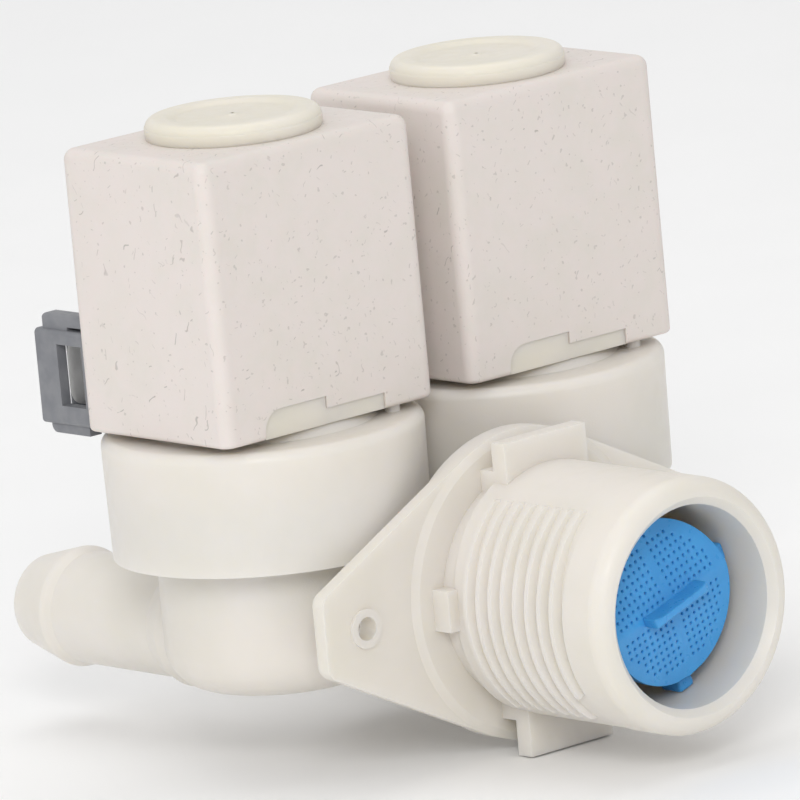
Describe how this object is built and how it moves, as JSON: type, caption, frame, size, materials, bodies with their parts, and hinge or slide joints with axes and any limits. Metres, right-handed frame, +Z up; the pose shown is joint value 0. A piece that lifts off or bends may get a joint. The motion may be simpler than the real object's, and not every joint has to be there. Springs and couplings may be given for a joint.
{
  "type": "twin solenoid water inlet valve",
  "caption": "Twin solenoid water valve: one threaded hose inlet with strainer, fixing flange, diaphragm valves under moulded coils, hose spigots at the back.",
  "frame": {"origin": "centre of the fixing flange's front face, on the inlet axis, midway between the two fixing holes", "axes": "+Z up along the coils, -Y out of the hose inlet, +Y out of the hose spigots, +X to the right seen from the inlet"},
  "size_m": [0.0658, 0.0816, 0.0665],
  "materials": {
    "body_plastic": "pale cream moulded plastic, slightly see-through",
    "coil_compound": "warm white fibre-filled moulding compound, dry satin",
    "cap_plastic": "cream moulded plastic",
    "filter_plastic": "blue moulded plastic, soft gloss",
    "connector_plastic": "mid grey moulded plastic",
    "inner_plastic": "natural moulded plastic",
    "rubber": "black rubber",
    "plunger_steel": "turned magnetic stainless steel",
    "spring_steel": "drawn wire",
    "yoke_steel": "zinc plated strip",
    "copper": "enamelled copper wire",
    "terminal_tin": "tin plated strip"
  },
  "bodies": {
    "root": {"valve_body": "body_plastic", "regulator_cage": "inner_plastic", "regulator_washer": "rubber", "bonnet_left": "body_plastic", "diaphragm_left": "rubber", "plunger_spring_left": "spring_steel", "bobbin_left": "cap_plastic", "winding_left": "copper", "yoke_left": "yoke_steel", "flux_bushes_left": "yoke_steel", "terminals_left": "terminal_tin", "connector_shroud_left": "connector_plastic", "coil_shell_left": "coil_compound", "coil_cap_left": "cap_plastic", "bonnet_right": "body_plastic", "diaphragm_right": "rubber", "plunger_spring_right": "spring_steel", "bobbin_right": "cap_plastic", "winding_right": "copper", "yoke_right": "yoke_steel", "flux_bushes_right": "yoke_steel", "terminals_right": "terminal_tin", "connector_shroud_right": "connector_plastic", "coil_shell_right": "coil_compound", "coil_cap_right": "cap_plastic"},
    "plunger_left": {"plunger_left": "plunger_steel", "plunger_seal_left": "rubber"},
    "diaphragm_insert_left": {"diaphragm_insert_left": "inner_plastic"},
    "plunger_right": {"plunger_right": "plunger_steel", "plunger_seal_right": "rubber"},
    "diaphragm_insert_right": {"diaphragm_insert_right": "inner_plastic"},
    "inlet_filter": {"inlet_filter": "filter_plastic"}
  },
  "joints": [
    {"name": "plunger_lift_left", "type": "slide", "parent": "root", "child": "plunger_left", "axis": [0, 0, 1], "range_m": [0, 0.0024], "stiffness_N_per_m": 250, "springref_m": -0.003, "deforming": ["plunger_spring_left"]},
    {"name": "diaphragm_lift_left", "type": "slide", "parent": "root", "child": "diaphragm_insert_left", "axis": [0, 0, 1], "range_m": [0, 0.002], "deforming": ["diaphragm_left"]},
    {"name": "plunger_lift_right", "type": "slide", "parent": "root", "child": "plunger_right", "axis": [0, 0, 1], "range_m": [0, 0.0024], "stiffness_N_per_m": 250, "springref_m": -0.003, "deforming": ["plunger_spring_right"]},
    {"name": "diaphragm_lift_right", "type": "slide", "parent": "root", "child": "diaphragm_insert_right", "axis": [0, 0, 1], "range_m": [0, 0.002], "deforming": ["diaphragm_right"]},
    {"name": "filter_pull", "type": "slide", "parent": "root", "child": "inlet_filter", "axis": [0, -1, 0], "range_m": [0, 0.018]}
  ],
  "couplings": [
    {"joint": "diaphragm_lift_left", "follows": "plunger_lift_left", "ratio": 0.83333},
    {"joint": "diaphragm_lift_right", "follows": "plunger_lift_right", "ratio": 0.83333}
  ]
}
